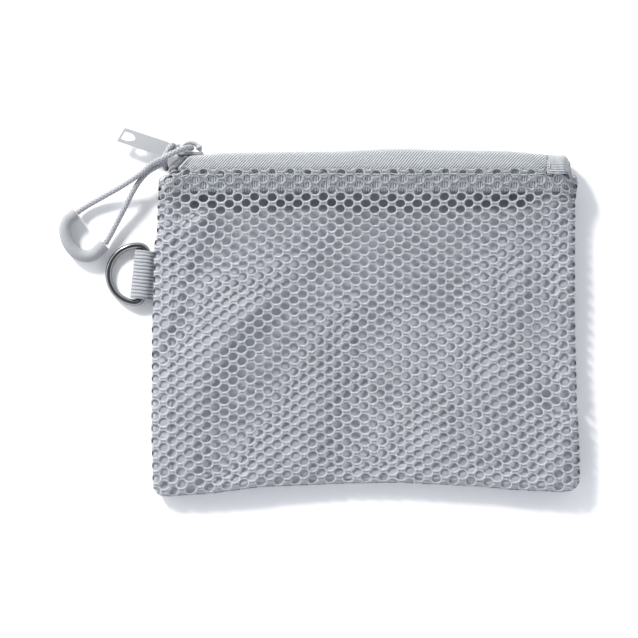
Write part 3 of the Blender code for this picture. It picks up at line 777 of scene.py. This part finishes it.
def curl_end(grid):
    """The tape's left end turns down and creases where it is caught in the seam."""
    x, y = grid[:, :, 0], grid[:, :, 1].copy()
    t = np.clip((-57.0 - x) / 12.0, 0, 1)
    grid[:, :, 1] = y - (1.2 * t + 3.2 * t**6) * step(y, 44.0, 57.0)
    away = x - (-66.4 + np.abs(grid[:, :, 1] - 53.2) * 0.95)
    crease = np.exp(-((away / 0.5) ** 2)) - 0.4 * np.exp(-(((away - 1.2) / 0.7) ** 2))
    crease = crease * step(-x, 60.0, 62.5)
    puckers = 0.30 * np.sin(y * 3.4 + x * 1.6) * step(-x, 61, 66)
    grid[:, :, 2] += (puckers - 1.3 * crease - 0.9 * t**2) * np.sign(grid[:, :, 2] - CHAIN_Z)
    return grid


def corner_down(grid):
    """The binding follows the mesh down to the pouch's two top corners."""
    x, y = grid[:, :, 0].copy(), grid[:, :, 1].copy()
    grid[:, :, 1] = y - (1.9 * step(-x, 62, 76) + 2.0 * step(x, 69, 74)) * step(y, 36, 53)
    grid[:, :, 0] = x + 1.6 * step(-x, 60, 75) - 0.5 * step(x, 60, 75)
    grid[:, :, 2] = CHAIN_Z + (grid[:, :, 2] - CHAIN_Z) * (0.12 + 0.88 * step(75.0 - np.abs(x), 0.0, 5.6))
    return grid


def make_zip():
    tape = tape_look("zip_tape", (0.21, 0.22, 0.225), (0.61, 0.63, 0.64))
    ribs = ribbed_look("ribbed_binding", (0.16, 0.168, 0.185), (0.53, 0.545, 0.565), 0.9, along_v=False)
    coil_material = coil_look()
    for half, side in (("front", 1), ("back", -1)):
        section = [(2.0 * side, 57.6), (3.2 * side, 57.65), (4.05 * side, 57.3), (4.45 * side, 56.4),
                   (4.25 * side, 54.0), (3.55 * side, 51.5), (2.65 * side, 48.6), (1.95 * side, 46.5)]
        made = strip(half + "_tape", section, -69.0, 63.5, 265, 0.45, tape, shape=curl_end)
        settle(made, "pouch", "zip_tape", half + "_zipper_tape")
        section = [(4.15 * side, 50.9), (3.45 * side, 48.4), (2.75 * side, 46.1), (2.1 * side, 45.35),
                   (1.35 * side, 45.5), (1.15 * side, 46.3), (1.75 * side, 48.7), (2.55 * side, 50.9)]
        made = strip(half + "_binding", section, -73.4, 73.4, 80, 0.4, ribs, shape=corner_down)
        settle(made, "pouch", "ribbed_binding", half + "_top_binding")
        pitch = 1.2
        turns = int(126.0 / pitch)
        t = np.linspace(0, turns, turns * 12 + 1)
        x = -63.0 + pitch * (t + (0.5 if side < 0 else 0.0))
        angle = 2 * math.pi * t * side
        z = CHAIN_Z + side * 0.95 + 0.68 * np.cos(angle) * side
        y = CHAIN_Y + 0.46 * np.sin(angle) + crest(x)
        points, faces = tube(np.stack([x, y, z], 1), 0.24, 6)
        made = add_mesh(half + "_coil", points, faces, coil_material)
        settle(made, "pouch", "nylon_coil", half + "_zipper_coil")


def make_end_tab():
    half = [(5.35, 51.4), (5.2, 53.2), (4.75, 55.2), (4.3, 56.6), (3.4, 57.6), (1.8, 58.0)]
    section = half + [(-min(z, 4.5), y) for z, y in reversed(half)]
    look = ribbed_look("end_tab_ribs", (0.27, 0.283, 0.29), (0.385, 0.402, 0.41), 0.82, plain_above=4.2)

    def soften(grid):
        x, y, z = grid[:, :, 0].copy(), grid[:, :, 1].copy(), grid[:, :, 2].copy()
        end = step(x, 69.0, 72.5)
        grid[:, :, 1] = y - end * (0.35 + 1.1 * step(y, 55.0, 58.0)) - 0.25 * np.sin((x - 63) / 2.6)
        grid[:, :, 0] = x - 0.8 * step(y, 55.5, 58.0) * end + 0.4 * step(54.5 - y, 0, 3) * end
        pinch = 1 - 0.74 * step(x, 68.6, 72.0) ** 1.5
        grid[:, :, 2] = CHAIN_Z + (z - CHAIN_Z) * pinch - 0.10 * np.sin(x * 2.2 + y)
        return grid

    made = strip("end_tab", section, 63.3, 71.9, 40, 0.5, look, bow=False, shape=soften)
    settle(made, "pouch", "ribbed_binding", "zipper_end_tab")


# ---------------------------------------------------------------- fittings on the left
RING_BAR_AT = (-77.8, 16.0, 2.35)
RING_LEAN, RING_TILT = 5.9, 5.2
LOOP_ROUTE = [(4.1, 1.45), (3.1, 1.4), (1.9, 1.25), (0.9, 0.85), (0.0, 0.65), (-2.6, 0.7), (-3.8, 1.1),
              (-4.15, 1.9), (-3.9, 2.9), (-2.9, 3.85), (-1.4, 4.35), (0.0, 4.45), (1.1, 4.1), (2.1, 3.3),
              (3.1, 2.7), (4.4, 2.4)]


def make_loop():
    """Webbing with raised ribs, folded round the ring's bar."""
    line, travel = spline_points([(x, 0, z) for x, z in LOOP_ROUTE], 0.3)
    tangent = np.gradient(line, axis=0)
    tangent /= np.linalg.norm(tangent, axis=1)[:, None]
    normal = np.stack([-tangent[:, 2], np.zeros(len(line)), tangent[:, 0]], 1)
    ribs, half = 14, 8.55
    across = np.linspace(-half, half, ribs * 8 + 1)
    relief = 0.22 * (1 - np.abs(np.cos(math.pi * (across + half) / (2 * half) * ribs))) ** 1.5
    edge = np.sqrt(np.clip((half - np.abs(across)) / 0.5, 0, 1))
    lean = Matrix.Rotation(math.radians(-RING_LEAN), 3, "Z")
    layers, uvs = [], []
    for side in (1, -1):
        thick = side * (0.28 * edge + (0.16 - relief) * edge)
        grid = line[:, None] + normal[:, None] * thick[None, :, None]
        grid[:, :, 1] += across[None]
        wobble = 0.10 * np.sin(travel[:, None] * 1.3 + across[None] * 0.4)
        grid[:, :, 1] += wobble * (np.abs(across)[None] / half)
        flat = grid.reshape(-1, 3) @ np.array(lean).T
        layers.append(flat + np.array([RING_BAR_AT[0], RING_BAR_AT[1], 0]))
        a, b = np.meshgrid(across, travel)
        uvs.append(np.stack([b.ravel(), a.ravel()], 1))
    # The groove depth between the ribs, passed on as painted shade.
    groove_shade = np.tile(relief / 0.22, len(line))
    made = shell("webbing", layers[0], layers[1], len(line), len(across), webbing_look(), uvs[0], groove_shade)
    settle(made, "pouch", "webbing", "webbing_loop")


def make_ring():
    """The D-ring as a smooth round wire, a little thicker than the CAD's."""
    reach, corner, half = 7.1, 3.0, 10.1
    route = [(0, reach * (2 * i / 14 - 1), 0) for i in range(15)]
    for k in range(1, 8):
        a = math.radians(90 * k / 8)
        route.append((-corner * (1 - math.cos(a)), reach + corner * math.sin(a), 0))
    for k in range(65):
        a = math.radians(90 + 180 * k / 64)
        route.append((-corner + half * math.cos(a), half * math.sin(a), 0))
    for k in range(7, 0, -1):
        a = math.radians(90 * k / 8)
        route.append((-corner * (1 - math.cos(a)), -reach - corner * math.sin(a), 0))
    line = np.array(route, float)
    sides = 20
    across = np.array([0, 0, 1.0])
    tangent = np.roll(line, -1, 0) - np.roll(line, 1, 0)
    tangent /= np.linalg.norm(tangent, axis=1)[:, None]
    out = np.cross(tangent, across)
    angle = np.linspace(0, 2 * math.pi, sides, endpoint=False)
    ring = (line[:, None] + 1.17 * (out[:, None] * np.cos(angle)[None, :, None]
            + across[None, None] * np.sin(angle)[None, :, None])).reshape(-1, 3)
    faces = []
    for r in range(len(line)):
        n = (r + 1) % len(line)
        for c in range(sides):
            m = (c + 1) % sides
            faces.append((r * sides + c, n * sides + c, n * sides + m, r * sides + m))
    lean = Matrix.Rotation(math.radians(-RING_LEAN), 3, "Z")
    turn = lean @ Matrix.Rotation(math.radians(-RING_TILT), 3, "Y")
    points = ring @ np.array(turn).T + np.array(RING_BAR_AT)
    made = add_mesh("d_ring_wire", points, faces, nickel_look())
    settle(made, "ring", "dark_nickel", "d_ring")


CORD_ROUTE = [
    (-101.85, 38.02, 2.3), (-99.6, 39.7, 2.0), (-94.4, 42.7, 2.4), (-85.85, 47.3, 4.6),
    (-79.0, 51.6, 7.2), (-74.8, 54.9, 9.1), (-71.2, 56.6, 10.2), (-67.4, 58.5, 10.6),
    (-64.2, 60.0, 10.1), (-62.0, 60.7, 8.1), (-61.15, 60.75, 5.4), (-61.9, 60.9, 2.9),
    (-63.9, 61.2, 1.5), (-66.3, 61.4, 1.5), (-68.4, 60.8, 2.9), (-69.9, 59.2, 5.0),
    (-71.0, 57.0, 6.6), (-71.7, 54.9, 7.4), (-73.6, 53.9, 7.0), (-76.9, 51.9, 5.9),
    (-80.1, 48.3, 4.9), (-82.6, 44.2, 4.4), (-84.9, 39.8, 3.6),
    (-87.65, 34.7, 2.7), (-90.3, 29.8, 2.2), (-91.98, 26.98, 2.3),
]
# The bight of the knot, crossing under the two strands.
BIGHT_ROUTE = [
    (-67.9, 61.9, 3.4), (-68.3, 61.5, 6.0), (-69.3, 59.8, 7.9), (-70.3, 57.2, 8.2),
    (-70.5, 54.8, 7.2), (-70.2, 53.4, 4.6),
]
CORD_SPACING, CORD_SIDES, BRAID_PITCH = 0.32, 24, 2.9
# The cord's ends sit in the grip: the bore's radius, and how many rows deep it goes.
GRIP_BORE, GRIP_SOCKET = 1.05, 6
GRIP_ROUTE = [
    (-102.1, 37.8, 2.3), (-105.0, 35.6, 2.3), (-106.1, 32.4, 2.3), (-105.4, 28.4, 2.3),
    (-103.3, 25.0, 2.3), (-100.2, 22.9, 2.3), (-96.3, 23.1, 2.3), (-92.2, 26.75, 2.3),
]


def braided(name, route, look):
    """Braided cord along a route: strands cross in two directions round it."""
    line, travel = spline_points(route, CORD_SPACING)
    angle = np.linspace(0, 2 * math.pi, CORD_SIDES, endpoint=False)[None]
    s = travel[:, None] * 2 * math.pi / BRAID_PITCH
    one, two = np.abs(np.sin(2 * angle + s)), np.abs(np.sin(2 * angle - s))
    # The grooves between the strands: they dent the tube and also carry painted shade.
    groove_shade = 1 - np.maximum(one, two) ** 1.2
    points, faces = tube(line, 0.98 - 0.14 * groove_shade, CORD_SIDES)
    made = add_mesh(name, points, faces, look, attributes={"groove_shade": (groove_shade * 1.9).ravel()})
    return made, line, travel


def make_cord():
    braid = braid_look()
    cord, line, travel = braided("cord", CORD_ROUTE, braid)
    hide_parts("puller_cord")
    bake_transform(cord)
    knot, _, _ = braided("cord_bight", BIGHT_ROUTE, braid)
    settle(knot, "slider", "braided_cord")


def make_grip():
    """The bent tube over the cord's ends, open at both ends."""
    line, _ = spline_points(GRIP_ROUTE, 0.5)
    rows = len(line)
    outer = np.full(rows, 2.18)
    outer[0], outer[1], outer[-1], outer[-2] = 1.95, 2.15, 1.95, 2.15
    across, up = frames_along(line)
    profile = ([(GRIP_SOCKET, GRIP_BORE), (0, GRIP_BORE)] + [(k, outer[k]) for k in range(rows)]
               + [(rows - 1, GRIP_BORE), (rows - 1 - GRIP_SOCKET, GRIP_BORE)])
    sides = 32
    angle = np.linspace(0, 2 * math.pi, sides, endpoint=False)
    points = []
    for k, r in profile:
        round_it = across[k][None] * np.cos(angle)[:, None] + up[k][None] * np.sin(angle)[:, None]
        points.append(line[k] + r * round_it)
    points = np.concatenate(points)
    faces = [f[::-1] for f in quads(len(profile), sides, True)]
    faces.append(tuple(range(sides)))
    end = (len(profile) - 1) * sides
    faces.append(tuple(range(end, end + sides))[::-1])
    made = add_mesh("grip", points, faces, grip_look())
    made.data.set_sharp_from_angle(angle=math.radians(50))
    settle(made, "puller", "soft_grip", "puller_grip")


def bevelled_copy(node, name, width, look, body, slot):
    """The CAD shape again, with its edges rounded over."""
    mesh = NODES[node].data.copy()
    bm = bmesh.new()
    bm.from_mesh(mesh)
    bmesh.ops.remove_doubles(bm, verts=bm.verts, dist=1e-6)
    bmesh.ops.dissolve_limit(bm, angle_limit=math.radians(3), verts=bm.verts, edges=bm.edges)
    bm.to_mesh(mesh)
    bm.free()
    made = bpy.data.objects.new(name, mesh)
    scene.collection.objects.link(made)
    mesh.materials.clear()
    mesh.materials.append(look)
    bevel = made.modifiers.new("edges", "BEVEL")
    bevel.width = width * MM
    bevel.segments = 2
    bevel.limit_method = "ANGLE"
    bevel.angle_limit = math.radians(35)
    bevel.use_clamp_overlap = True
    mesh.shade_smooth()
    mesh.set_sharp_from_angle(angle=math.radians(40))
    settle(made, body, slot, node)
    return made


CROWN_AT, CROWN_RADIUS = (-61.7, 59.0), 3.6
TAB_DIRECTION = 161.5


def make_slider():
    """The CAD's slider and tab with rounded edges, and the crown made up to its full width."""
    paint = painted_look()
    bevelled_copy("slider_body", "slider", 0.12, paint, "slider", "painted_metal")
    arc = np.radians(np.linspace(172, 22, 40))
    line = np.stack([CROWN_AT[0] + CROWN_RADIUS * np.cos(arc),
                     CROWN_AT[1] + CROWN_RADIUS * np.sin(arc), np.full(40, CHAIN_Z)], 1)
    swell = 0.78 + 0.38 * np.exp(-(((np.arange(40) - 37) / 3.0) ** 2))
    swell[-1] = 0.7
    points, faces = tube(line, swell[:, None], 16)
    settle(add_mesh("crown", points, faces, paint), "slider", "painted_metal")
    tab = bevelled_copy("pull_tab", "tab", 0.22, paint, "tab", "painted_metal")
    turn = math.radians(TAB_DIRECTION)
    along = Vector((math.cos(turn), math.sin(turn), 0))
    across = Vector((-along.y, along.x, 0))
    centre = Vector((*CROWN_AT, 0)) * MM
    # The tab's far end is drawn out a little, more on one side than on the other.
    for vertex in tab.data.vertices:
        away = vertex.co - centre
        far, off = away.dot(along) / MM, away.dot(across) / MM
        weight = float(step(far, 19.2, 20.6))
        vertex.co += along * MM * weight * (0.45 + 0.22 * (off + 1.7))


def make_seam_bindings():
    """Soft tapes over the inside seams, lying on the woven cloth."""
    ribs = woven_look("seam_binding")
    across = np.linspace(-2.2, 2.2, 12)
    for name, side in (("left", -1), ("right", 1), ("bottom", 0)):
        along = np.linspace(-53.3, 43.5, 120) if side else np.linspace(-66.5, 66.5, 150)
        a, b = np.meshgrid(across, along)
        wave = 0.35 * np.sin(b / 5.3) + 0.2 * np.sin(b / 2.1 + 1)
        u, v = (side * 70.0 + a + wave, b) if side else (b, a - 55.8 + wave)
        x, y = plan(u, v)
        ends = np.minimum(1, np.minimum(b - along[0], along[-1] - b) / 2 + 0.1)
        lift = 0.45 * np.sqrt(np.clip(1 - (np.abs(a) / 2.21) ** 4, 0, 1)) * ends
        base = sample(BACK_Z, u, v)
        top = np.stack([x, y, base + 0.03 + lift], 2).reshape(-1, 3)
        low = np.stack([x, y, base - 0.15], 2).reshape(-1, 3)
        rows, wide = a.shape
        uv = np.stack([a.ravel(), b.ravel()], 1)
        made = shell(name + "_binding", top, low, rows, wide, ribs, uv)
        settle(made, "pouch", "ribbed_binding", name + "_seam_binding")


def make_stitches():
    """Rows of single stitches, each sunk at its ends."""
    thread = thread_look()
    points, faces = [], []

    def stitch(p, q, lift):
        line = np.array([p, p + (q - p) * 0.12 + lift, p + (q - p) * 0.5 + lift * 1.35,
                         p + (q - p) * 0.88 + lift, q])
        line, _ = spline_points(line, 0.22)
        new, made = tube(line, 0.15, 7, True, sum(len(block) for block in points))
        points.append(new)
        faces.extend(made)

    random = np.random.default_rng(4)
    for k in range(43):
        u = -66.6 + 3.1 * k
        v0, v1 = 51.2 + random.normal(0, 0.12, 2)
        ends = [np.array([*plan(w, t), float(sample(FRONT_Z, w, t)) - 0.1])
                for w, t in ((u, v0), (u + 2.5, v1))]
        stitch(ends[0], ends[1], np.array([0, 0, 0.32]))
    made = add_mesh("top_stitches", np.concatenate(points), faces, thread)
    settle(made, "pouch", "thread", "front_topstitch")
    points.clear()
    faces.clear()
    for p, q in (((64.3, 52.3, 10.7), (66.5, 52.2, 10.7)), ((67.0, 52.2, 10.7), (69.2, 52.3, 10.7)),
                 ((69.5, 52.3, 10.2), (70.7, 52.4, 8.6)), ((64.2, 55.4, 10.2), (64.2, 53.2, 10.6))):
        stitch(np.array(p), np.array(q), np.array([0, 0, 0.16]))
    made = add_mesh("end_stitches", np.concatenate(points), faces, thread)
    settle(made, "pouch", "thread", "end_tab_stitch")


make_camera()
make_cord()
make_light()
make_floor()
make_front()
make_back()
make_zip()
make_end_tab()
make_loop()
make_ring()
make_grip()
make_slider()
make_seam_bindings()
make_stitches()
